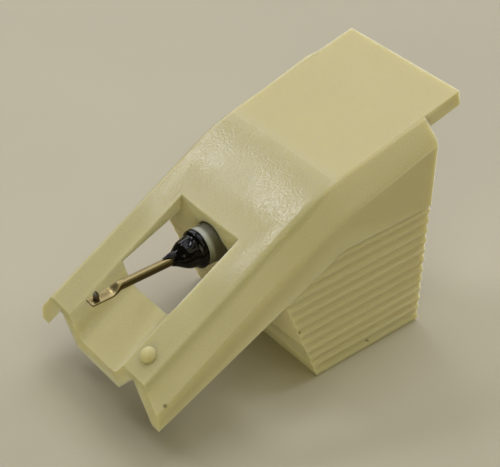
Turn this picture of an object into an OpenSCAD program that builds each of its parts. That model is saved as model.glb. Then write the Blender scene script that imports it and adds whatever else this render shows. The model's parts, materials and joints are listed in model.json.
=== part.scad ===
// Replaceable stylus for a record player's cartridge, standing on the flat end of its finger grip.
// Millimetres. The origin is the centre of that flat end, +X points to the rear tab and +Z up.

/* [Housing] */
// Width of the housing over its side walls
body_w = 10; // [9:0.1:12]
// Width of the flat crown between the two chamfers
crown_w = 7.8; // [7:0.1:8.4]
// Height of the crown at the rear face
rear_h = 12.4; // [11.6:0.1:13.5]
// Distance from the rear face forward to the crease in the crown
crease_back = 6.7; // [5.5:0.1:7.5]
// Slope of the crown behind the crease, tab included
rear_pitch = 14; // [10:0.5:18]
// Slope of the crown and the arms in front of the crease
front_pitch = 30.8; // [28:0.2:33]
// Length over which the crease is rounded
crease_len = 2.6; // [1:0.1:3]
// Distance from the origin forward to the ends of the arms
reach = 13.4; // [12.8:0.1:14]
// Depth of the chamfer at the rear face
chamfer_rear = 0.9; // [0.6:0.05:1.2]
// Depth of the chamfer from the crease forward
chamfer_front = 1.45; // [1.2:0.05:1.6]
// Length of rounding on each side of the chamfer's upper edge
upper_round = 0.2; // [0.1:0.05:0.3]
// Length of rounding on each side of the chamfer's lower edge
lower_round = 0.3; // [0.2:0.05:0.6]
// Thickness of the crown and of the walls round the socket
wall = 0.88; // [0.7:0.02:1]
// Thickness of the skirts under the arms
skirt_t = 0.44; // [0.35:0.01:0.6]
// Thickness of the arms at their front ends, over the recesses
arm_t = 0.5; // [0.4:0.02:0.6]
// Thickness of the arms at the rear end of the trough, where they are thinnest
arm_thin = 0.24; // [0.2:0.01:0.35]
// Slope of the lower edge of the skirts
skirt_pitch = 25.1; // [23:0.1:27]

/* [Finger grip] */
// Length of the flat end that the stylus stands on
foot_len = 7; // [6.6:0.1:7.4]
// Height at which the grip meets the skirts
grip_h = 6; // [5.7:0.1:6.3]
// Lean of the grip's front wall from upright
grip_lean = 21.5; // [20:0.5:23]
// Height of the ribbed field on each side
rib_field_h = 7.68; // [6:0.02:8]
// Number of ribs on each side
rib_count = 12; // [8:1:14]
// Depth of the valleys between the ribs
rib_depth = 0.15; // [0.08:0.01:0.2]
// Share of a rib's width over which its crest is round
rib_round = 0.98; // [0.9:0.01:0.99]

/* [Window and trough] */
// Width of the window between the arms
window_w = 4.5; // [4.2:0.05:4.8]
// Distance from the origin forward to the rear edge of the window
window_back = 6.57; // [6.4:0.01:6.7]
// Distance from the origin forward to the rear end of the trough
trough_back = 10.25; // [10:0.05:10.6]
// Width of the trough's floor
trough_floor_w = 3; // [2.6:0.1:3.2]
// Depth of the trough's floor below the arms
trough_depth = 1.07; // [0.9:0.01:1.2]
// Thickness of the trough's floor
trough_floor_t = 0.76; // [0.5:0.02:0.9]
// Width over the trough's walls where they meet the arms
trough_top_w = 5.8; // [5.6:0.05:6]
// Width of the trough's underside
trough_under_w = 3.56; // [3:0.02:3.8]
// Length of rounding on each side of the trough's inner corners
trough_round = 0.35; // [0.1:0.05:0.5]
// Radius of the round nub on one arm
nub_r = 0.42; // [0.3:0.01:0.5]
// Distance from the origin forward to the nub
nub_x = 12.43; // [12:0.01:12.7]
// Distance of the nub from the middle
nub_y = 3.01; // [2.8:0.01:3.2]

/* [Rear tab] */
// Length of the tab behind the rear face, along its slope
tab_len = 2.38; // [1.5:0.02:3]
// Thickness of the tab
tab_t = 0.89; // [0.7:0.01:1.1]

/* [Plug sleeve] */
// Height of the sleeve's axis above the flat end
axis_h = 7.15; // [7:0.05:7.3]
// Outer radius of the sleeve
sleeve_r = 1.08; // [1:0.01:1.15]
// Wall thickness of the sleeve
sleeve_wall = 0.22; // [0.15:0.01:0.3]
// Length of the sleeve
sleeve_len = 9; // [8:0.1:10]
// Distance from the origin forward to the sleeve's front end
sleeve_front = 7.3; // [7.2:0.01:7.4]
// Radial clearance of the sleeve in the housing
sleeve_fit = 0.01; // [0.005:0.005:0.02]
// Radius of the collar that stops the sleeve against its boss
collar_r = 1.4; // [1.3:0.01:1.5]
// Thickness of that collar
collar_t = 0.7; // [0.6:0.01:0.9]
// Wall of the boss round the sleeve, inside the socket
boss_wall = 0.6; // [0.5:0.02:0.8]
// Height of the boss over the leaning wall at its lowest point
boss_proud = 0.15; // [0.1:0.01:0.4]

/* [Suspension] */
// Radius of the rubber flange
flange_r = 1; // [0.9:0.01:1.05]
// Thickness of the rubber flange
flange_t = 0.3; // [0.2:0.01:0.4]
// Length of the rubber cone in front of the flange
cone_len = 1.5; // [1.2:0.05:1.8]
// Radius of the rubber cone at its shoulder
shoulder_r = 0.82; // [0.7:0.01:0.85]
// Distance from the flange forward to the shoulder
shoulder_back = 0.42; // [0.3:0.01:0.5]
// Radius of the rubber cone at its waist
waist_r = 0.5; // [0.4:0.01:0.6]
// Distance from the flange forward to the waist
waist_back = 0.93; // [0.8:0.01:1.1]
// Thickness of the rubber at the front end of the cone
lip_t = 0.05; // [0.03:0.01:0.08]
// Length of the rubber inside the sleeve
spigot_len = 1.2; // [0.8:0.05:1.5]
// Clearance between the rubber and its neighbours
rubber_fit = 0.02; // [0.01:0.005:0.05]
// Radius of the magnet
magnet_r = 0.42; // [0.3:0.01:0.45]
// Length of the magnet
magnet_len = 2; // [1.5:0.1:2.4]
// Radius of the hole through the magnet
magnet_bore_r = 0.14; // [0.1:0.01:0.2]
// Length of the collar between the cantilever and the magnet
bush_len = 0.7; // [0.5:0.05:1]
// Radius of the tie wire
wire_r = 0.04; // [0.03:0.005:0.06]
// Free length of the tie wire behind the magnet
wire_free = 1.2; // [0.8:0.1:1.5]
// Length of the anchor plug
anchor_len = 1.6; // [1:0.1:2]

/* [Cantilever and tip] */
// Outer radius of the cantilever tube
tube_r = 0.235; // [0.2:0.005:0.25]
// Wall thickness of the cantilever tube
tube_wall = 0.06; // [0.04:0.005:0.08]
// Distance from the origin forward to the tube's front end
tip_reach = 13.58; // [13.4:0.01:13.7]
// Length of the flattened front end
paddle_len = 1.15; // [0.9:0.05:1.3]
// Length over which the tube turns flat
neck_len = 0.5; // [0.4:0.05:0.7]
// Width of the flattened front end
paddle_w = 0.66; // [0.5:0.01:0.7]
// Thickness of the flattened front end
paddle_t = 0.14; // [0.12:0.01:0.2]
// Distance from the front end back to the tip's hole
tip_back = 0.38; // [0.3:0.01:0.5]
// Radius of the shank in its hole
shank_r = 0.15; // [0.1:0.01:0.18]
// Length of the shank
shank_len = 0.45; // [0.35:0.01:0.6]
// Radius of the diamond point at its base
diamond_r = 0.135; // [0.09:0.005:0.16]
// Height of the diamond point
diamond_h = 0.22; // [0.15:0.01:0.3]
// Radius of the diamond point's rounded end
diamond_end_r = 0.018; // [0.015:0.001:0.025]

/* [Hidden] */
$fn = 48;

// How far cutters run past the faces that they cut
over = 1;
// Play that keeps two set pieces from sharing a face
seat = 0.005;
// Depth of the rib crests below the side wall
rib_crest = 0.01;
// Flats that each round rib is drawn with
rib_facets = 6;
// Flats that a rounded edge or crease is drawn with
round_facets = 4;

rear_x = foot_len / 2;
foot_x = -foot_len / 2;
front_x = -reach;
crease_x = rear_x - crease_back;
crease_z = rear_h - crease_back * tan(rear_pitch);
heel_x = foot_x - grip_h * tan(grip_lean);
window_x = -window_back;
trough_x = -trough_back;
sleeve_x = -sleeve_front;
sleeve_bore_r = sleeve_r - sleeve_wall;
sleeve_hole_r = sleeve_r + sleeve_fit;
boss_r = sleeve_hole_r + boss_wall;
spigot_x = sleeve_x + spigot_len;
bush_x = spigot_x + rubber_fit;
magnet_x = bush_x + bush_len + seat;
anchor_x = magnet_x + magnet_len + wire_free;
tip_x = -tip_reach + tip_back;
paddle_low = axis_h - tube_r;

// Height of the crown over a point x: two slopes, joined by a curve that starts where in_curve is 0
function crown_z(x) =
  let (
    in_curve = x - crease_x + crease_len / 2,
    bend = tan(rear_pitch) - tan(front_pitch),
    front = crease_z + (x - crease_x) * tan(front_pitch)
  )
  in_curve <= 0
    ? front
    : in_curve >= crease_len
      ? crease_z + (x - crease_x) * tan(rear_pitch)
      : front + bend * in_curve ^ 2 / (2 * crease_len);

// Places along X at which the crown is skinned, from x1 to x2 with the rounded crease between them
function crown_places(x1, x2) = concat(
  [x1],
  [for (i = [0:round_facets]) crease_x + crease_len * (i / round_facets - 0.5)],
  [x2]
);

// Depth of the chamfer at a point x
function chamfer(x) = x > crease_x
  ? chamfer_front + (chamfer_rear - chamfer_front) * (x - crease_x) / crease_back
  : chamfer_front;

// Front wall of the grip at a height z, set back by t
function lean_x(z, t = 0) = foot_x - z * tan(grip_lean) + t / cos(grip_lean);

// Rear face of the boss, square to the sleeve
boss_x = lean_x(axis_h - boss_r, wall) + boss_proud;

// Points that round an outline's corner b between its neighbours a and c, over a length r of each side
function corner(a, b, c, r) =
  let (start = b + r * (a - b) / norm(a - b), end = b + r * (c - b) / norm(c - b))
  [
    for (i = [0:round_facets])
      let (t = i / round_facets)
      (1 - t) ^ 2 * start + 2 * t * (1 - t) * b + t ^ 2 * end
  ];

// Outline across the housing at x from below the flat end up to the crown, as [y, z] points
function outer_section(x) =
  let (
    low = [body_w / 2, -over],
    side = [body_w / 2, crown_z(x) - chamfer(x)],
    top = [crown_w / 2, crown_z(x)],
    middle = [0, crown_z(x)],
    half = concat([low], corner(low, side, top, lower_round), corner(side, top, middle, upper_round)),
    last = len(half) - 1
  )
  concat(half, [for (i = [last:-1:0]) [-half[i][0], half[i][1]]]);

// The same outline moved in: walls t thick at the sides, roof t_top thick, floor at z_low
function inner_section(x, t, t_top, half_top, z_low) =
  let (
    half_w = body_w / 2 - t,
    roof = crown_z(x) - t_top,
    eaves = roof - (half_w - half_top) * chamfer(x) / ((body_w - crown_w) / 2)
  ) [
    [-half_w, z_low],
    [half_w, z_low],
    [half_w, eaves],
    [half_top, roof],
    [-half_top, roof],
    [-half_w, eaves]
  ];

// Outside of the trough across the housing at x, carried on up into the arms
function trough_section(x) =
  let (
    low = crown_z(x) - trough_depth - trough_floor_t,
    roof = crown_z(x) - arm_t,
    lift = arm_t - arm_thin / 2,
    flare = (trough_top_w - trough_under_w) / 2 * lift / (roof - low)
  ) [
    [-trough_under_w / 2, low],
    [trough_under_w / 2, low],
    [trough_top_w / 2 + flare, roof + lift],
    [-trough_top_w / 2 - flare, roof + lift]
  ];

// Inside of the trough across the housing at x, carried on up past the arms
function channel_section(x) =
  let (
    flare = (window_w - trough_floor_w) / 2 * over / trough_depth,
    foot = [trough_floor_w / 2, crown_z(x) - trough_depth],
    top = [window_w / 2 + flare, crown_z(x) + over],
    half = corner([0, foot[1]], foot, top, trough_round),
    last = len(half) - 1
  )
  concat([for (i = [last:-1:0]) [-half[i][0], half[i][1]]], half, [top, [-top[0], top[1]]]);

// Solid skinned over outlines that stand across X at the places in xs
module loft(xs, outlines) {
  n = len(outlines[0]);
  last = len(xs) - 1;
  points = [for (i = [0:last]) for (p = outlines[i]) [xs[i], p[0], p[1]]];
  sides = [
    for (i = [0:last - 1]) for (j = [0:n - 1])
      let (a = i * n + j, b = i * n + (j + 1) % n)
      each [[a, b + n, b], [a, a + n, b + n]]
  ];
  front = [[for (j = [0:n - 1]) j]];
  back = [[for (j = [n - 1:-1:0]) last * n + j]];
  polyhedron(points = points, faces = concat(front, sides, back), convexity = 6);
}

// Bar of an [x, z] outline, w wide about the middle plane
module side_profile(outline, w) {
  translate([0, w / 2, 0])
    rotate([90, 0, 0])
      linear_extrude(height = w)
        polygon(outline);
}

// Rod along X from x, at the height of the sleeve's axis
module axis_rod(x, length, r1, r2) {
  translate([x, 0, axis_h])
    rotate([0, 90, 0])
      cylinder(h = length, r1 = r1, r2 = r2);
}

// Outer form: crown and sides, cut off below by the flat end, the leaning wall and the skirts' edges
module housing_solid() {
  xs = crown_places(front_x, rear_x);
  ahead = front_x - over;
  behind = rear_x + over;
  skirt_z = grip_h + (ahead - heel_x) * tan(skirt_pitch);
  top_z = rear_h + over;
  intersection() {
    loft(xs, [for (x = xs) outer_section(x)]);
    side_profile(
      [[ahead, skirt_z], [heel_x, grip_h], [foot_x, 0], [behind, 0], [behind, top_z], [ahead, top_z]],
      body_w + 2 * over
    );
  }
}

// Space under the arms, open below and in front, round the trough that hangs between them
module front_hollow() {
  arm_inner = trough_top_w / 2 + skirt_t / 2;
  xs = [front_x - over, trough_x, window_x, window_x + over];
  roofs = [arm_t, arm_thin, wall, wall];
  ahead = front_x - 2 * over;
  difference() {
    intersection() {
      loft(xs, [for (i = [0:3]) inner_section(xs[i], skirt_t, roofs[i], arm_inner, -over)]);
      side_profile(
        [[ahead, -over], [lean_x(-over), -over], [lean_x(rear_h), rear_h], [ahead, rear_h]],
        body_w
      );
    }
    loft([ahead, trough_x], [trough_section(ahead), trough_section(trough_x)]);
  }
}

// Window between the arms and, in front of it, the inside of the trough
module window() {
  xs = [front_x - over, trough_x + seat];
  translate([trough_x, -window_w / 2, 0])
    cube([window_x - trough_x, window_w, rear_h]);
  loft(xs, [for (x = xs) channel_section(x)]);
}

// Socket for the cartridge's nose, open at the rear, with the sleeve's boss left standing in it
module socket() {
  top_z = rear_h + over;
  end_x = rear_x + over;
  xs = [lean_x(rear_h, wall), crease_x, end_x];
  difference() {
    intersection() {
      loft(xs, [for (x = xs) inner_section(x, wall, wall, (crown_w - wall) / 2, wall)]);
      side_profile([[lean_x(0, wall), 0], [end_x, 0], [end_x, top_z], [lean_x(top_z, wall), top_z]], body_w);
    }
    axis_rod(sleeve_x, boss_x - sleeve_x, boss_r, boss_r);
  }
}

// Depth of the ribbed face below the side wall, at a height z above the flat end
function rib_y(z) =
  let (pitch = rib_field_h / rib_count, along = (2 * (z / pitch - floor(z / pitch)) - 1) * rib_round)
  rib_crest + rib_depth * (1 - sqrt(1 - along * along));

// Valleys between the ribs of one side, cut from the outline of the ribbed field
module rib_valleys() {
  field = [
    [foot_x - over, -over],
    [heel_x - over, grip_h - over * tan(skirt_pitch)],
    [heel_x + (rib_field_h - grip_h) / tan(skirt_pitch), rib_field_h],
    [rear_x + over, rib_field_h],
    [rear_x + over, -over]
  ];
  step = rib_field_h / rib_count / rib_facets;
  ribbed_edge = [
    for (i = [0:rib_count * rib_facets])
      [body_w / 2 - rib_y(i * step), i * step]
  ];
  intersection() {
    translate([0, body_w / 2, 0])
      side_profile(field, 4 * rib_depth);
    translate([foot_x - 4 * over, 0, 0])
      rotate([90, 0, 90])
        linear_extrude(height = foot_len + 6 * over)
          polygon(concat([[body_w / 2 + over, 0]], ribbed_edge, [[body_w / 2 + over, rib_field_h]]));
  }
}

// Tab that carries the crown on behind the rear face, square at its end
module tab() {
  end_x = rear_x + tab_len * cos(rear_pitch);
  end_z = rear_h + tab_len * sin(rear_pitch);
  side_profile(
    [
      [rear_x, rear_h],
      [end_x, end_z],
      [end_x + tab_t * sin(rear_pitch), end_z - tab_t * cos(rear_pitch)],
      [rear_x, rear_h - tab_t / cos(rear_pitch)]
    ],
    crown_w
  );
}

module housing() {
  color([0.80, 0.76, 0.60]) {
    difference() {
      housing_solid();
      front_hollow();
      socket();
      window();
      axis_rod(sleeve_x, sleeve_len, sleeve_hole_r, sleeve_hole_r);
      for (side = [0, 1])
        mirror([0, side, 0])
          rib_valleys();
    }
    tab();
    translate([-nub_x, -nub_y, crown_z(-nub_x)])
      sphere(r = nub_r);
  }
}

module plug_sleeve() {
  color([0.62, 0.62, 0.60])
    difference() {
      union() {
        axis_rod(sleeve_x, sleeve_len, sleeve_r, sleeve_r);
        axis_rod(boss_x + seat, collar_t, collar_r, collar_r);
      }
      axis_rod(sleeve_x - over, sleeve_len + 2 * over, sleeve_bore_r, sleeve_bore_r);
    }
}

module damper() {
  flange_x = sleeve_x - rubber_fit - flange_t;
  spigot_r = sleeve_bore_r - rubber_fit;
  hole_r = tube_r + rubber_fit;
  color([0.07, 0.07, 0.07])
    translate([0, 0, axis_h])
      rotate([0, 90, 0])
        rotate_extrude()
          polygon([
            [hole_r, flange_x - cone_len],
            [hole_r + lip_t, flange_x - cone_len],
            [waist_r, flange_x - waist_back],
            [shoulder_r, flange_x - shoulder_back],
            [shoulder_r, flange_x],
            [flange_r, flange_x],
            [flange_r, flange_x + flange_t],
            [spigot_r, flange_x + flange_t],
            [spigot_r, spigot_x],
            [hole_r, spigot_x]
          ]);
}

module cantilever() {
  round_x = -tip_reach + paddle_len + neck_len;
  tube_end = bush_x + bush_len / 2;
  color([0.60, 0.50, 0.30])
    difference() {
      union() {
        axis_rod(round_x, tube_end - round_x, tube_r, tube_r);
        hull() {
          axis_rod(round_x, seat, tube_r, tube_r);
          translate([round_x - neck_len, -paddle_w / 2, paddle_low])
            cube([seat, paddle_w, paddle_t]);
        }
        translate([-tip_reach, -paddle_w / 2, paddle_low])
          cube([paddle_len, paddle_w, paddle_t]);
      }
      axis_rod(round_x, tube_end + over - round_x, tube_r - tube_wall, tube_r - tube_wall);
      translate([tip_x, 0, paddle_low - over])
        cylinder(h = 2 * over, r = shank_r + seat);
    }
}

module tip_shank() {
  color([0.35, 0.33, 0.30])
    translate([tip_x, 0, paddle_low - paddle_t / 2])
      cylinder(h = shank_len, r = shank_r);
}

module diamond_tip() {
  color([0.15, 0.13, 0.12])
    translate([tip_x, 0, paddle_low - paddle_t / 2 + shank_len + seat])
      cylinder(h = diamond_h, r1 = diamond_r, r2 = diamond_end_r);
}

module magnet_bush() {
  color([0.72, 0.60, 0.32])
    difference() {
      axis_rod(bush_x, bush_len, magnet_r, magnet_r);
      axis_rod(bush_x - over, over + bush_len / 2 + seat, tube_r + seat, tube_r + seat);
      axis_rod(bush_x, bush_len + over, magnet_bore_r, magnet_bore_r);
    }
}

module magnet() {
  color([0.35, 0.35, 0.37])
    difference() {
      axis_rod(magnet_x, magnet_len, magnet_r, magnet_r);
      axis_rod(magnet_x - over, magnet_len + 2 * over, magnet_bore_r, magnet_bore_r);
    }
}

module tie_wire() {
  start = sleeve_x + spigot_len / 2;
  color([0.75, 0.75, 0.72])
    axis_rod(start, anchor_x + anchor_len - start, wire_r, wire_r);
}

module wire_anchor() {
  color([0.70, 0.58, 0.34])
    difference() {
      axis_rod(anchor_x, anchor_len, sleeve_bore_r - seat, sleeve_bore_r - seat);
      axis_rod(anchor_x - over, anchor_len + 2 * over, wire_r + seat, wire_r + seat);
    }
}

housing();
plug_sleeve();
damper();
cantilever();
tip_shank();
diamond_tip();
magnet_bush();
magnet();
tie_wire();
wire_anchor();
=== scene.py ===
import json
import math

import bmesh
import bpy
from mathutils import Matrix, Vector, noise


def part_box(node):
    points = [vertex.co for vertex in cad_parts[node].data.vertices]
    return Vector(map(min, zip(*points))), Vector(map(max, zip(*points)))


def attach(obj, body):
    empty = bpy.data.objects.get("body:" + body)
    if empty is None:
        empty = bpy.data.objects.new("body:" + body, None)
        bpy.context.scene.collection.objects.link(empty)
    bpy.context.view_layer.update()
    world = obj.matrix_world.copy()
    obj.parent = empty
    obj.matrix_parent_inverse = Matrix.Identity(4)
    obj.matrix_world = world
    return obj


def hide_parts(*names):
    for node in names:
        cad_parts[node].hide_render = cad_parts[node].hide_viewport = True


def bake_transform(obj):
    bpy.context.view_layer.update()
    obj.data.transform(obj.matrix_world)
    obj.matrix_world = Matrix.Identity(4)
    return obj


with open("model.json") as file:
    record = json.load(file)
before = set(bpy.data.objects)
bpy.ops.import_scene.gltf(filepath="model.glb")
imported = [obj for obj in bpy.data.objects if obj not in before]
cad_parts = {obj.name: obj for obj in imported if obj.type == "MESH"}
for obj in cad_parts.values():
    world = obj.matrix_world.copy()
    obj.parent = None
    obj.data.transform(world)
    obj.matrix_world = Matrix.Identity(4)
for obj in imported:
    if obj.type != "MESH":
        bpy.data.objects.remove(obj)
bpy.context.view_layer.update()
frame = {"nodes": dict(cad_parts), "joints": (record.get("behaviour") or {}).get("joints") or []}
nodes = frame["nodes"]
scene = bpy.context.scene

# Camera. The stylus is seen from its front left and from above, close up and with a long lens.
# The place and the limits of sight are in metres, and the lens and its sensor in millimetres.
camera_azimuth = math.radians(-39.508)
camera_elevation = math.radians(38.082)
camera_roll = math.radians(0.967)
camera_place = Vector((-0.037519, -0.040578, 0.047671))
camera_lens = 96.493
camera_sensor = 36
camera_near = 0.001
camera_far = 10
toward_camera = Vector((
    math.sin(camera_azimuth) * math.cos(camera_elevation),
    -math.cos(camera_azimuth) * math.cos(camera_elevation),
    math.sin(camera_elevation),
))
camera_level = Vector((math.cos(camera_azimuth), math.sin(camera_azimuth), 0))
camera_turn = Matrix((camera_level, toward_camera.cross(camera_level), toward_camera)).transposed()
camera_data = bpy.data.cameras.new("camera")
camera_data.lens = camera_lens
camera_data.sensor_width = camera_sensor
camera_data.clip_start = camera_near
camera_data.clip_end = camera_far
camera = bpy.data.objects.new("camera", camera_data)
camera.matrix_world = (
    Matrix.Translation(camera_place)
    @ camera_turn.to_4x4()
    @ Matrix.Rotation(camera_roll, 4, "Z")
)
scene.collection.objects.link(camera)
scene.camera = camera
scene.view_settings.view_transform = "Standard"


# Table. A plain sheet of warm grey paper that the stylus stands on. Its tone drifts a little, as the
# tone of pressed paper does, and it reaches past the picture on every side.
table_size = 1.2
table_cells = 8


def new_material(name):
    """A material, its node tree and its shader."""
    material = bpy.data.materials.new(name)
    material.use_nodes = True
    return material, material.node_tree, material.node_tree.nodes["Principled BSDF"]


def noise_node(tree, scale, detail, stretch=None):
    """Noise in the piece's own coordinates, with scale waves per metre, stretched by a factor per axis."""
    place = tree.nodes.new("ShaderNodeTexCoord").outputs["Object"]
    if stretch:
        mapping = tree.nodes.new("ShaderNodeMapping")
        mapping.inputs["Scale"].default_value = stretch
        tree.links.new(place, mapping.inputs["Vector"])
        place = mapping.outputs["Vector"]
    grain = tree.nodes.new("ShaderNodeTexNoise")
    grain.inputs["Scale"].default_value = scale
    grain.inputs["Detail"].default_value = detail
    tree.links.new(place, grain.inputs["Vector"])
    return grain.outputs["Fac"]


def ramp_node(tree, source, stops):
    """The colour that a ramp gives for source, from stops of (position, colour)."""
    ramp = tree.nodes.new("ShaderNodeValToRGB")
    elements = ramp.color_ramp.elements
    for element, (position, colour) in zip(elements, (stops[0], stops[-1])):
        element.position = position
        element.color = (*colour, 1)
    for position, colour in stops[1:-1]:
        elements.new(position).color = (*colour, 1)
    tree.links.new(source, ramp.inputs["Fac"])
    return ramp.outputs["Color"]


def mottled_material(name, scale, detail, dark, light, roughness, metallic=0, spread=(0.3, 0.7)):
    """A material whose colour drifts from dark to light, in patches of 1 / scale metres."""
    material, tree, shader = new_material(name)
    tone = ramp_node(tree, noise_node(tree, scale, detail), [(spread[0], dark), (spread[1], light)])
    tree.links.new(tone, shader.inputs["Base Color"])
    shader.inputs["Roughness"].default_value = roughness
    shader.inputs["Metallic"].default_value = metallic
    return material, tree, shader


table_mesh = bmesh.new()
bmesh.ops.create_grid(table_mesh, x_segments=table_cells, y_segments=table_cells, size=table_size / 2)
table_data = bpy.data.meshes.new("table")
table_mesh.to_mesh(table_data)
table_mesh.free()
table = bpy.data.objects.new("table", table_data)
scene.collection.objects.link(table)
paper, _, shader = mottled_material(
    "table_paper", 60, 3, (0.500, 0.466, 0.354), (0.520, 0.484, 0.366), roughness=0.8
)
shader.inputs["Specular IOR Level"].default_value = 0.2
table_data.materials.append(paper)

# Lamps. A pale room with broad soft lights: most of the light comes from behind and from the right.
# The room's own light is yellowish, and the lamps are a little bluer than it.
lamp_distance = 1.0
lamp_aim = Vector((-0.003, 0, 0.006))
lamp_white = (1.03, 1.02, 1.12)
room_warm = (1.0, 0.97, 0.68)
room_colour = (1.0, 0.96, 0.55, 1)
room_strength = 0.065


def soft_lamp(name, azimuth, elevation, size, share, colour=lamp_white):
    """A square lamp aimed at the stylus. Azimuth 0 stands behind it and 90 to its right, and share is
    the part of the table's light that comes from the lamp."""
    data = bpy.data.lights.new(name, "AREA")
    data.shape = "SQUARE"
    data.size = size
    data.energy = share * (math.pi * lamp_distance) ** 2 / math.sin(math.radians(elevation))
    data.color = colour
    lamp = bpy.data.objects.new(name, data)
    turn, rise = math.radians(azimuth), math.radians(elevation)
    toward = Vector((math.sin(turn) * math.cos(rise), math.cos(turn) * math.cos(rise), math.sin(rise)))
    lamp.location = lamp_aim + toward * lamp_distance
    lamp.rotation_mode = "QUATERNION"
    lamp.rotation_quaternion = toward.to_track_quat("Z", "Y")
    scene.collection.objects.link(lamp)


soft_lamp("back_light", 10, 32, 0.60, 0.15)
soft_lamp("right_light", 95, 21, 0.55, 0.13)
soft_lamp("high_light", 65, 65, 0.60, 0.21)
soft_lamp("top_light", 0, 85, 0.60, 0.157)
soft_lamp("ceiling_light", -22, 48, 0.19, 0.12)
soft_lamp("front_light", 184, 58, 0.60, 0.135, room_warm)
soft_lamp("low_light", 244, 14, 0.60, 0.064, room_warm)
room = bpy.data.worlds.new("room")
scene.world = room
room.use_nodes = True
room.node_tree.nodes["Background"].inputs["Color"].default_value = room_colour
room.node_tree.nodes["Background"].inputs["Strength"].default_value = room_strength


# Housing. One cream thermoplastic moulding: the forked front arms with the trough between them,
# the window, the crown, the rear tab and the ribbed finger grip. Its edges are softly rounded
# by the mould, and a few dust specks and a nick show on its side.
edge_round = 0.00009
edge_steps = 3
flat_angle = math.radians(0.4)
weld_gap = 1e-6
sharp_angle = math.radians(32)


def new_piece(name, mesh, material):
    """An object made from a bmesh, with smooth faces, one material."""
    data = bpy.data.meshes.new(name)
    mesh.to_mesh(data)
    mesh.free()
    for face in data.polygons:
        face.use_smooth = True
    data.materials.append(material)
    piece = bpy.data.objects.new(name, data)
    scene.collection.objects.link(piece)
    return piece


def rounded_edges(piece, width, steps, angle=sharp_angle):
    """Rounds the sharp edges of a piece and keeps the shading of its flat faces flat."""
    rounding = piece.modifiers.new("rounded_edges", "BEVEL")
    rounding.width = width
    rounding.segments = steps
    rounding.limit_method = "ANGLE"
    rounding.angle_limit = angle
    piece.modifiers.new("even_shading", "WEIGHTED_NORMAL")


def bump_node(tree, height, distance, under=None):
    """The normal of a relief that is distance metres high, laid over the relief under."""
    bump = tree.nodes.new("ShaderNodeBump")
    bump.inputs["Distance"].default_value = distance
    tree.links.new(height, bump.inputs["Height"])
    if under:
        tree.links.new(under, bump.inputs["Normal"])
    return bump.outputs["Normal"]


def place_nodes(tree):
    """The place on the piece in metres, and the X, Y and Z of that place."""
    place = tree.nodes.new("ShaderNodeTexCoord").outputs["Object"]
    axes = tree.nodes.new("ShaderNodeSeparateXYZ")
    tree.links.new(place, axes.inputs["Vector"])
    return place, axes.outputs


def span_node(tree, source, low, high, out_low=0.0, out_high=1.0):
    """Maps source from the span low to high onto out_low to out_high, smoothly and clamped."""
    span = tree.nodes.new("ShaderNodeMapRange")
    span.interpolation_type = "SMOOTHSTEP"
    for socket, value in zip(("From Min", "From Max", "To Min", "To Max"), (low, high, out_low, out_high)):
        span.inputs[socket].default_value = value
    tree.links.new(source, span.inputs["Value"])
    return span.outputs["Result"]


def math_node(tree, operation, *terms):
    """The result of a math operation on sockets or numbers."""
    node = tree.nodes.new("ShaderNodeMath")
    node.operation = operation
    for socket, value in zip(node.inputs, terms):
        if isinstance(value, (int, float)):
            socket.default_value = value
        else:
            tree.links.new(value, socket)
    return node.outputs[0]


def distance_node(tree, place, centre):
    """How far a place on the piece lies from centre."""
    gap = tree.nodes.new("ShaderNodeVectorMath")
    gap.operation = "DISTANCE"
    gap.inputs[1].default_value = centre
    tree.links.new(place, gap.inputs[0])
    return gap.outputs["Value"]


def tinted(tree, amount, colour, tint, blend="MULTIPLY"):
    """A colour with a tint laid on it by amount. Sockets 6 and 7 take the colours, and 2 gives one."""
    mix = tree.nodes.new("ShaderNodeMix")
    mix.data_type = "RGBA"
    mix.blend_type = blend
    mix.inputs[7].default_value = (*tint, 1)
    tree.links.new(amount, mix.inputs[0])
    tree.links.new(colour, mix.inputs[6])
    return mix.outputs[2]


cream_plastic, cream_tree, shader = new_material("cream_plastic")
place, axes = place_nodes(cream_tree)

# The slope in front of the crown's crease. Heights over the origin along the way that it faces
# single it out from the faces round it. Painted shade makes the moulding a little darker there and on the
# arms.
slope_facing_x = -0.512
slope_facing_z = 0.859
slope_foot = (0.01040, 0.01075)
slope_cap = (0.01104, 0.01090)
slope_shade_tint = (0.86, 0.875, 0.86)
arms_reach = (-0.0066, -0.0096)
arms_shade_tint = (0.94, 0.95, 0.93)
slope_height = math_node(
    cream_tree, "MULTIPLY_ADD", axes["Z"], slope_facing_z,
    math_node(cream_tree, "MULTIPLY", axes["X"], slope_facing_x),
)
on_slope = math_node(
    cream_tree, "MULTIPLY",
    span_node(cream_tree, slope_height, *slope_foot),
    span_node(cream_tree, slope_height, *slope_cap),
)
cream_tone = ramp_node(
    cream_tree, noise_node(cream_tree, 160, 2),
    [(0.3, (0.612, 0.548, 0.298)), (0.7, (0.632, 0.567, 0.314))],
)
# Painted shade on the slope, then on the arms.
cream_tone = tinted(cream_tree, on_slope, cream_tone, slope_shade_tint)
cream_tone = tinted(cream_tree, span_node(cream_tree, axes["X"], *arms_reach), cream_tone, arms_shade_tint)

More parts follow.
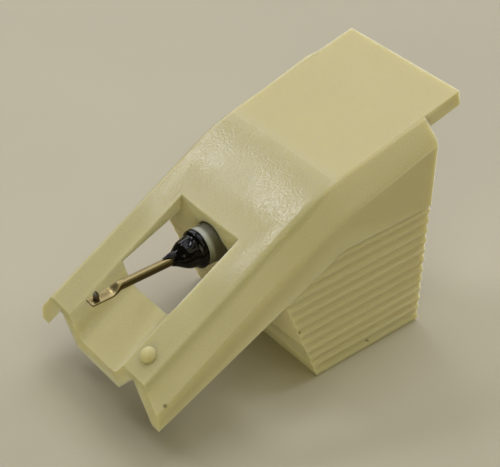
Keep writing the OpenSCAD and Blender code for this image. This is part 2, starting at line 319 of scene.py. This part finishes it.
# Polish. The slope is glossier than the rest of the moulding, and most of all in patches across its
# middle, round an oval that isn't. The oval's edge wavers by noise, and its limits are in radii.
polish_rim = (0.01030, 0.01062)
polish_reach = (-0.0098, -0.0066)
gloss_rear = 0.0005
gloss_middle = -0.0040
gloss_front = -0.0085
oval_place = (-0.0045, 0.0004, 0.0099)
oval_radius = 0.0012
oval_waver = 1.6
oval_limits = (1.2, 2.4)
patch_limits = (0.38, 0.52)
patch_least = 0.7
glossiest = (0.30, 0.80)
dull_roughness = 0.80
slope_roughness = 0.268
patch_roughness = 0.185
in_rim = span_node(cream_tree, slope_height, *polish_rim)
oval_gap = math_node(
    cream_tree, "MULTIPLY_ADD", noise_node(cream_tree, 1000, 3), oval_radius * oval_waver,
    distance_node(cream_tree, place, oval_place),
)
polish = in_rim
for factor in (
    span_node(cream_tree, axes["X"], gloss_rear, gloss_middle),
    span_node(cream_tree, axes["X"], gloss_front, gloss_middle),
    span_node(cream_tree, oval_gap, *(oval_radius * limit for limit in oval_limits)),
    span_node(cream_tree, noise_node(cream_tree, 800, 2), *patch_limits, patch_least, 1),
):
    polish = math_node(cream_tree, "MULTIPLY", polish, factor)
on_polish = math_node(
    cream_tree, "MULTIPLY", in_rim, span_node(cream_tree, axes["X"], *polish_reach)
)
roughness = math_node(
    cream_tree, "ADD",
    span_node(cream_tree, on_polish, 0, 1, dull_roughness, slope_roughness),
    span_node(cream_tree, polish, *glossiest, 0, patch_roughness - slope_roughness),
)
cream_tree.links.new(roughness, shader.inputs["Roughness"])

# The fine grain of the mould, with a faint long wave over it.
grain_depth = 0.000021
wave_depth = 0.000010
grain = bump_node(cream_tree, noise_node(cream_tree, 9000, 1), grain_depth)
wave = bump_node(cream_tree, noise_node(cream_tree, 900, 1), wave_depth, under=grain)
cream_tree.links.new(wave, shader.inputs["Normal"])

# Dirt specks on the near side, and a short dark nick across the lowest rib. Places and radii in metres.
specks = [
    ((-0.01290, -0.00484, 0.00371), 0.00009), ((-0.00487, -0.00493, 0.00376), 0.00008),
    ((-0.00018, -0.0049, 0.00060), 0.00006), ((-0.00010, -0.0049, 0.00053), 0.00006),
    ((-0.00003, -0.0049, 0.00045), 0.00005), ((-0.00730, 0.0039, 0.00853), 0.00006),
]
speck_core = 0.4
speck_fade = 1.6
speck_strength = 0.75
dirt_colour = (0.120, 0.090, 0.040)
dirt = 0
for centre, radius in specks:
    mark = span_node(
        cream_tree, distance_node(cream_tree, place, centre),
        radius * speck_core, radius * speck_fade, speck_strength, 0,
    )
    dirt = math_node(cream_tree, "MAXIMUM", dirt, mark)
cream_tone = tinted(cream_tree, dirt, cream_tone, dirt_colour, "MIX")
cream_tree.links.new(cream_tone, shader.inputs["Base Color"])
shader.inputs["IOR"].default_value = 1.49
shader.inputs["Specular IOR Level"].default_value = 0.42
shader.inputs["Subsurface Weight"].default_value = 0.8
shader.inputs["Subsurface Radius"].default_value = (1.0, 0.92, 0.60)
shader.inputs["Subsurface Scale"].default_value = 0.0008

# The ribs of the grip. Their valleys are as broad and soft as their crests.
rib_count = 12
rib_facets = 6
rib_pitch = 0.00064
rib_step = rib_pitch / rib_facets
rib_crest = 0.00499
rib_radius = 0.00015
rib_arc = 0.98
rib_match = 3e-6


def drawn_rib(along):
    """Depth of a rib's surface under its crest in the CAD model; along runs from -1 to 1 over a rib."""
    return rib_radius * (1 - math.sqrt(1 - (rib_arc * along) ** 2))


def moulded_rib(along):
    """The same depth for the wave-shaped ribs of the real moulding."""
    return drawn_rib(1) * (1 - math.cos(math.pi * along)) / 2


def rib_face(height, rib):
    """Distance of the ribbed face from the middle of the housing, at a height over the table."""
    station = height / rib_step
    first = math.floor(station)
    depths = [rib((k % rib_facets) / rib_facets * 2 - 1) for k in (first, first + 1)]
    return rib_crest - depths[0] - (depths[1] - depths[0]) * (station - first)


housing_mesh = bmesh.new()
housing_mesh.from_mesh(nodes["housing"].data)
bmesh.ops.remove_doubles(housing_mesh, verts=housing_mesh.verts, dist=weld_gap)
bmesh.ops.dissolve_limit(
    housing_mesh, angle_limit=flat_angle, verts=housing_mesh.verts, edges=housing_mesh.edges
)
for vertex in housing_mesh.verts:
    across, height = abs(vertex.co.y), vertex.co.z
    in_ribs = 0 <= height <= rib_step * rib_facets * rib_count
    if in_ribs and abs(across - rib_face(height, drawn_rib)) < rib_match:
        vertex.co.y = math.copysign(rib_face(height, moulded_rib), vertex.co.y)
housing = new_piece("housing_moulding", housing_mesh, cream_plastic)
rounded_edges(housing, edge_round, edge_steps)
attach(housing, "housing_body")
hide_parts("housing")


# Plug sleeve. A turned tube of grey metal with a collar, pushed into the boss from behind until
# the collar stops it. Its front end shows in the window, and its free end plugs into the cartridge.
axis_height = frame["joints"][0]["pos_m"][2]
axis_line = (Vector((0, 0, axis_height)), Vector((1, 0, 0)))
sleeve_radius = 0.00108
sleeve_bore = 0.00086
nose_radius = 0.00099
nose_end = -0.00650
collar_radius = 0.0014
collar_front = -0.00455
collar_rear = -0.00385
sleeve_round = 0.00004
line_weld_gap = 1e-8


def turned(name, profile, line, material, steps=96, closed=True):
    """A piece turned about a line (point, direction) from (distance along it, radius) points. A closed
    profile goes round a ring's section; an open one starts and ends on the line itself."""
    start, along = line
    across = along.orthogonal().normalized()
    beside = along.cross(across)
    mesh = bmesh.new()
    rings = []
    for step in range(steps):
        turn = 2 * math.pi * step / steps
        out = across * math.cos(turn) + beside * math.sin(turn)
        rings.append([mesh.verts.new(start + along * far + out * radius) for far, radius in profile])
    count = len(profile)
    for step in range(steps):
        here, there = rings[step], rings[(step + 1) % steps]
        for i in range(count if closed else count - 1):
            j = (i + 1) % count
            mesh.faces.new((here[i], there[i], there[j], here[j]))
    bmesh.ops.remove_doubles(mesh, verts=mesh.verts, dist=line_weld_gap)
    bmesh.ops.recalc_face_normals(mesh, faces=mesh.faces)
    return new_piece(name, mesh, material)


# Painted shade darkens the metal behind its front edge, where it runs into the boss, and along its
# underside. Turning marks darken it faintly all over.
recess_painted_shade = (-0.00716, -0.00686)
underside_painted_shade = (0.00782, 0.00676)
underside_shade_strength = 0.75
mark_strength = 0.12
turning_relief = 0.000002
grey_metal, metal_tree, shader = new_material("satin_grey_metal")
turning_marks = noise_node(metal_tree, 2500, 3)
_, axes = place_nodes(metal_tree)
# Painted shade behind the front edge and along the underside.
painted_shade = math_node(
    metal_tree, "MAXIMUM",
    span_node(metal_tree, axes["X"], *recess_painted_shade),
    span_node(metal_tree, axes["Z"], *underside_painted_shade, 0, underside_shade_strength),
)
shade_and_turning_marks = math_node(
    metal_tree, "ADD", painted_shade, math_node(metal_tree, "MULTIPLY", turning_marks, mark_strength)
)
metal_tone = ramp_node(
    metal_tree, shade_and_turning_marks,
    [(0.0, (0.37, 0.38, 0.32)), (0.5, (0.20, 0.20, 0.13)), (1.0, (0.085, 0.080, 0.045))],
)
metal_tree.links.new(metal_tone, shader.inputs["Base Color"])
metal_tree.links.new(bump_node(metal_tree, turning_marks, turning_relief), shader.inputs["Normal"])
shader.inputs["Metallic"].default_value = 0.25
shader.inputs["Roughness"].default_value = 0.45

sleeve_low, sleeve_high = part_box("plug_sleeve")
sleeve = turned(
    "plug_sleeve_tube",
    [
        (sleeve_low.x, sleeve_bore), (sleeve_low.x, nose_radius),
        (nose_end, nose_radius), (nose_end, sleeve_radius),
        (collar_front, sleeve_radius), (collar_front, collar_radius),
        (collar_rear, collar_radius), (collar_rear, sleeve_radius),
        (sleeve_high.x, sleeve_radius), (sleeve_high.x, sleeve_bore),
    ],
    axis_line, grey_metal,
)
rounded_edges(sleeve, sleeve_round, edge_steps)
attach(sleeve, "housing_body")
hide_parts("plug_sleeve")


# Rubber suspension. One soft black moulding, glossy like wet glue: a spigot in the sleeve, a flange
# against the sleeve's end, and a cone that grips the cantilever and runs out along it in a spur.
# It gives as the cantilever sways, so it is modelled as a rear and a front part that meet at a seam.
rubber_bore = 0.000255
rubber_seam = -0.0078
spigot_radius = 0.00084
spigot_end = -0.0062
flange_bore = 0.00037
flange_rear = -0.00732
cone_stations = [
    (-0.00892, 0.000300), (-0.00882, 0.000345), (-0.00870, 0.000415), (-0.00855, 0.000515),
    (-0.00840, 0.000615), (-0.00825, 0.000700), (-0.00808, 0.000765), (-0.00790, 0.000805),
    (rubber_seam, 0.000825),
]
flange_stations = [
    (rubber_seam, 0.000825), (-0.00773, 0.000845), (-0.00766, 0.000890), (-0.00760, 0.000945),
    (-0.00753, 0.000988), (-0.00745, 0.001005), (-0.00738, 0.001005), (flange_rear, 0.000990),
]
cone_front = cone_stations[0][0]


def smooth_line(points, steps):
    """Points on a smooth curve through the given (x, radius) points, steps for each stretch."""
    ends = [points[0], *points, points[-1]]
    found = []
    for a, b, c, d in zip(ends, ends[1:], ends[2:], ends[3:]):
        for i in range(steps):
            t = i / steps
            found.append(tuple(
                0.5 * (
                    2 * q
                    + (r - p) * t
                    + (2 * p - 5 * q + 4 * r - s) * t * t
                    + (3 * q - p - 3 * r + s) * t ** 3
                )
                for p, q, r, s in zip(a, b, c, d)
            ))
    return found + [points[-1]]


rubber_relief = 0.00001
black_rubber, rubber_tree, shader = mottled_material(
    "wet_black_rubber", 1800, 3, (0.0022, 0.0019, 0.0016), (0.0045, 0.0038, 0.0030),
    roughness=0.1, spread=(0.35, 0.75),
)
shader.inputs["Specular IOR Level"].default_value = 0.17
rubber_skin = bump_node(rubber_tree, noise_node(rubber_tree, 5200, 2), rubber_relief)
rubber_tree.links.new(rubber_skin, shader.inputs["Normal"])

rubber_rear = turned(
    "rubber_flange",
    [(rubber_seam, flange_bore), *smooth_line(flange_stations, 3)]
    + [(flange_rear, spigot_radius), (spigot_end, spigot_radius), (spigot_end, flange_bore)],
    axis_line, black_rubber,
)
rubber_front = turned(
    "rubber_cone",
    [(cone_front, rubber_bore), *smooth_line(cone_stations, 4), (rubber_seam, rubber_bore)],
    axis_line, black_rubber,
)

# The uneven skin. Places near the bore stay put, and the push grows to its full size over skin_depth.
# Each wave is a number of waves per metre with its height.
bore_limit = rubber_bore * 1.02
skin_depth = 0.0003
skin_waves = ((1500, 0.00003), (4200, 0.000008))
rear_flattening = 0.00002
front_flattening = 0.00004


def uneven_rubber(piece, flattening):
    """Moves the skin of a rubber piece in and out a little, and flattens its underside."""
    for vertex in piece.data.vertices:
        out = Vector((0, vertex.co.y, vertex.co.z - axis_height))
        radius = out.length
        if radius < bore_limit:
            continue
        share = min(1, (radius - rubber_bore) / skin_depth)
        swell = sum(noise.noise(vertex.co * waves) * height for waves, height in skin_waves)
        under = max(0, -out.z / radius)
        vertex.co += out / radius * (swell - flattening * under * under) * share


# The spur runs forward from the cone's edge, on the upper side of the cantilever.
spur_turn = math.radians(72)
spur_width = 0.5
spur_front = -0.00938
spur_rear = -0.00870
spur_swell = 0.00005
spur_swell_rate = 1.4
uneven_rubber(rubber_rear, rear_flattening)
for vertex in rubber_front.data.vertices:
    out = Vector((0, vertex.co.y, vertex.co.z - axis_height))
    if out.length < bore_limit:
        continue
    away = math.atan2(out.z, out.y) - spur_turn
    nearness = math.exp(-(away / spur_width) ** 2)
    t = min(1, max(0, (vertex.co.x - spur_rear) / (cone_front - spur_rear)))
    vertex.co.x += (spur_front - cone_front) * t * nearness
    vertex.co += out.normalized() * spur_swell * math.sin(math.pi * min(1, t * spur_swell_rate)) * nearness
uneven_rubber(rubber_front, front_flattening)

# A small flat on the upper side, and the sag of the whole rubber in front of the sleeve.
flat_place = Vector((-0.00796, -0.00024, 0.00788))
flat_facing = Vector((-0.483, 0.009, 0.875)).normalized()
flat_reach = 0.00030
rubber_drop = 0.00003
for piece in (rubber_rear, rubber_front):
    for vertex in piece.data.vertices:
        gap = vertex.co - flat_place
        if gap.length < flat_reach:
            vertex.co -= flat_facing * gap.dot(flat_facing) * (1 - (gap.length / flat_reach) ** 2)
        if vertex.co.x < flange_rear:
            out = Vector((0, vertex.co.y, vertex.co.z - axis_height))
            vertex.co.z -= rubber_drop * min(1, max(0, (out.length - rubber_bore) / skin_depth))
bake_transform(rubber_rear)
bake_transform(rubber_front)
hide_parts("damper")


# Cantilever. A thin drawn tube, bronze coloured and bright, squeezed flat at its front end and
# pierced there for the tip. Its rear end is set in the collar inside the sleeve. Its mesh is built
# in millimetres and scaled to metres at the end.
millimetre = 0.001
tube_radius = 0.235
tube_bore = 0.175
tube_rear = -5.73
bore_front = -11.95
neck_rear = -11.85
neck_front = -12.50
neck_dip = 0.020
paddle_end = -13.58
paddle_half_width = 0.33
paddle_half_height = 0.07
paddle_corner = 0.10
paddle_dip = 0.050
paddle_squareness = 4.5
round_squareness = 2
corner_share = 0.8
end_thinning = 0.12
tip_place = -13.2
tip_hole = 0.155
section_points = 40
tube_rings = 24
neck_rings = 12
paddle_rings = 7
corner_rings = 6
tube_round = 0.000015
tube_sharp_angle = math.radians(40)
axis_height_mm = axis_height / millimetre


def tube_section(x, half_width, half_height, squareness, dip=0):
    """One ring of the cantilever in millimetres. Its underside stays level as it is squeezed flat, and
    its upper side sinks by dip in the middle."""
    middle = axis_height_mm - tube_radius + half_height
    ring = []
    for i in range(section_points):
        turn = 2 * math.pi * i / section_points
        c, s = math.cos(turn), math.sin(turn)
        across = math.copysign(abs(c) ** (2 / squareness), c)
        rise = math.copysign(abs(s) ** (2 / squareness), s)
        sunk = dip * max(0, rise) * (1 - across * across)
        ring.append((x, half_width * across, middle + half_height * rise - sunk))
    return ring


cantilever_rings = []
for i in range(tube_rings + 1):
    x = tube_rear + (neck_rear - tube_rear) * i / tube_rings
    cantilever_rings.append(tube_section(x, tube_radius, tube_radius, round_squareness))
for i in range(1, neck_rings + 1):
    t = i / neck_rings
    t = t * t * (3 - 2 * t)
    cantilever_rings.append(tube_section(
        neck_rear + (neck_front - neck_rear) * i / neck_rings,
        tube_radius + (paddle_half_width - tube_radius) * t,
        tube_radius + (paddle_half_height - tube_radius) * t,
        round_squareness + (paddle_squareness - round_squareness) * t,
        paddle_dip * t + neck_dip * math.sin(math.pi * t),
    ))
for i in range(1, paddle_rings + 1):
    x = neck_front + (paddle_end + paddle_corner - neck_front) * i / paddle_rings
    cantilever_rings.append(
        tube_section(x, paddle_half_width, paddle_half_height, paddle_squareness, paddle_dip)
    )
for i in range(1, corner_rings + 1):
    turn = math.pi / 2 * i / corner_rings
    cantilever_rings.append(tube_section(
        paddle_end + paddle_corner * (1 - math.sin(turn)),
        paddle_half_width - paddle_corner * (1 - math.cos(turn)) * corner_share,
        paddle_half_height * (1 - end_thinning * (i / corner_rings) ** 3),
        paddle_squareness,
        paddle_dip,
    ))
bore_rings = [
    [(x, y * tube_bore / tube_radius, axis_height_mm + (z - axis_height_mm) * tube_bore / tube_radius)
     for x, y, z in tube_section(end, tube_radius, tube_radius, round_squareness)]
    for end in (bore_front, tube_rear)
]

cantilever_mesh = bmesh.new()
rings = [[cantilever_mesh.verts.new(point) for point in ring] for ring in bore_rings + cantilever_rings]
for here, there in zip(rings, rings[1:]):
    for i in range(section_points):
        j = (i + 1) % section_points
        cantilever_mesh.faces.new((here[i], here[j], there[j], there[i]))
cantilever_mesh.faces.new(reversed(rings[0]))
cantilever_mesh.faces.new(rings[-1])
bmesh.ops.recalc_face_normals(cantilever_mesh, faces=cantilever_mesh.faces)

# The bronze is painted brighter on its upper side, a painted reflection, and darker below, painted shade.
# The border between the two sinks over the neck.
highlight_border_heights = (0.00697, 0.00724)
highlight_border_fade = 0.00006
bronze_drawing = (0.08, 1, 1)
grain_share = 0.15
drawing_relief = 0.0000015
bronze, bronze_tree, shader = new_material("drawn_bronze_tube")
bronze_grain = noise_node(bronze_tree, 9000, 3, bronze_drawing)
_, axes = place_nodes(bronze_tree)
highlight_border = span_node(
    bronze_tree, axes["X"], neck_front * millimetre, neck_rear * millimetre, *highlight_border_heights
)
# Painted highlight on the upper side and painted shade below, with the drawing grain laid over them.
painted_highlight_and_grain = math_node(
    bronze_tree, "ADD",
    span_node(bronze_tree, math_node(bronze_tree, "SUBTRACT", axes["Z"], highlight_border), 0, highlight_border_fade),
    math_node(bronze_tree, "MULTIPLY", bronze_grain, grain_share),
)
bronze_tone = ramp_node(
    bronze_tree, painted_highlight_and_grain,
    [(0.05, (0.095, 0.068, 0.029)), (0.6, (0.21, 0.163, 0.070)), (1.0, (0.29, 0.235, 0.105))],
)
bronze_tree.links.new(bronze_tone, shader.inputs["Base Color"])
bronze_tree.links.new(bump_node(bronze_tree, bronze_grain, drawing_relief), shader.inputs["Normal"])
shader.inputs["Metallic"].default_value = 1
shader.inputs["Roughness"].default_value = 0.36

cantilever = new_piece("cantilever_tube", cantilever_mesh, bronze)
hole_mesh = bmesh.new()
bmesh.ops.create_cone(
    hole_mesh, cap_ends=True, segments=section_points, radius1=tip_hole, radius2=tip_hole, depth=1,
    matrix=Matrix.Translation((tip_place, 0, axis_height_mm - tube_radius)),
)
hole_data = bpy.data.meshes.new("tip_hole")
hole_mesh.to_mesh(hole_data)
hole_mesh.free()
hole = bpy.data.objects.new("tip_hole", hole_data)
scene.collection.objects.link(hole)
piercing = cantilever.modifiers.new("tip_hole", "BOOLEAN")
piercing.operation = "DIFFERENCE"
piercing.object = hole
bpy.context.view_layer.update()
pierced = bpy.data.meshes.new_from_object(cantilever.evaluated_get(bpy.context.evaluated_depsgraph_get()))
cantilever.modifiers.clear()
cantilever.data = pierced
pierced.transform(Matrix.Scale(millimetre, 4))
bpy.data.objects.remove(hole)
rounded_edges(cantilever, tube_round, 2, tube_sharp_angle)
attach(cantilever, "cantilever_body")
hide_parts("cantilever")


# Tip. A small dark metal post set through the flat end, with the diamond point bonded on its end.
# Both are ground round, and the post's end shows from below in the pierced hole.
post_radius = 0.00015
point_base = 0.000135
point_rim = 0.00003
point_end = 0.000018
point_tip = (0.3, 0.7)
post_round = 0.00002
point_round = 0.000008
point_sharp_angle = math.radians(50)
tip_steps = 40
tip_line = (Vector((tip_place * millimetre, 0, 0)), Vector((0, 0, 1)))

post_metal, *_ = mottled_material(
    "ground_post_metal", 9000, 2, (0.085, 0.062, 0.036), (0.14, 0.105, 0.065), roughness=0.3, metallic=0.9
)
post_low, post_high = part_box("tip_shank")
post = turned(
    "tip_post",
    [(post_low.z, 0), (post_low.z, post_radius), (post_high.z, post_radius), (post_high.z, 0)],
    tip_line, post_metal, tip_steps, closed=False,
)
rounded_edges(post, post_round, edge_steps)
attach(post, "cantilever_body")
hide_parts("tip_shank")

diamond, _, shader = mottled_material(
    "dark_diamond", 14000, 2, (0.030, 0.022, 0.012), (0.060, 0.045, 0.026), roughness=0.08
)
shader.inputs["IOR"].default_value = 2.0
point_low, point_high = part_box("diamond_tip")
point = turned(
    "tip_diamond",
    [
        (point_low.z, 0), (point_low.z, point_base), (point_low.z + point_rim, point_base),
        (point_high.z - point_end, point_end),
        (point_high.z - point_end * point_tip[0], point_end * point_tip[1]), (point_high.z, 0),
    ],
    tip_line, diamond, tip_steps, closed=False,
)
rounded_edges(point, point_round, 2, point_sharp_angle)
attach(point, "cantilever_body")
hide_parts("diamond_tip")


# Inner pieces, hidden in the sleeve: a brass collar on the cantilever's rear end, the ring magnet
# behind it, and the tie wire that runs back through both to the brass plug that holds it.
brass, *_ = mottled_material(
    "turned_brass", 3000, 3, (0.44, 0.28, 0.08), (0.56, 0.38, 0.13), roughness=0.32, metallic=1
)
magnet_grey, *_ = mottled_material(
    "sintered_magnet", 6000, 4, (0.055, 0.056, 0.060), (0.095, 0.096, 0.102), roughness=0.55, metallic=0.6
)
wire_steel, *_ = mottled_material(
    "drawn_wire_steel", 8000, 2, (0.42, 0.42, 0.40), (0.52, 0.52, 0.50), roughness=0.3, metallic=1
)
wire_radius = 0.00004
magnet_hole = 0.00014
plug_hole = wire_radius * 1.1
seat_play = 0.000005
seat_radius = tube_radius * millimetre + seat_play
inner_steps = 64
inner_round = 0.00003
for name, node, body, material, slot, hole_radius in (
    ("magnet_collar", "magnet_bush", "cantilever_body", brass, "collar_brass", magnet_hole),
    ("ring_magnet", "magnet", "cantilever_body", magnet_grey, "magnet_grey", magnet_hole),
    ("wire_plug", "wire_anchor", "housing_body", brass, "collar_brass", plug_hole),
):
    low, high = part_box(node)
    outer_radius = (high.z - low.z) / 2
    front_bore = [(low.x, hole_radius)]
    if node == "magnet_bush":
        seat_depth = (high.x + low.x) / 2
        front_bore = [(seat_depth, hole_radius), (seat_depth, seat_radius), (low.x, seat_radius)]
    ring_profile = [*front_bore, (low.x, outer_radius), (high.x, outer_radius), (high.x, hole_radius)]
    piece = turned(name, ring_profile, axis_line, material, inner_steps)
    rounded_edges(piece, inner_round, edge_steps)
    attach(piece, body)
    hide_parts(node)

# The wire bends in two places behind the magnet, so it is modelled as a strand and a tail.
wire_low, wire_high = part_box("tie_wire")
wire_lead = 0.0006
wire_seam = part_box("magnet")[1].x + wire_lead
wire_flex = 0.0005
wire_spans = 24
wire_steps = 24
for name, start, end, bodies, bend_start, bend_end in (
    (
        "tie_wire_strand", wire_low.x, wire_seam,
        ("cantilever_body", "damper_body"), wire_seam - wire_flex, wire_seam,
    ),
    (
        "tie_wire_tail", wire_seam, wire_high.x,
        ("damper_body", "housing_body"), wire_seam, wire_seam + wire_flex,
    ),
):
    stations = [start + (end - start) * i / wire_spans for i in range(wire_spans + 1)]
    wire = turned(
        name, [(start, 0), *((x, wire_radius) for x in stations), (end, 0)],
        axis_line, wire_steel, wire_steps, closed=False,
    )
    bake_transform(wire)
    if name == "tie_wire_strand":
        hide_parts("tie_wire")
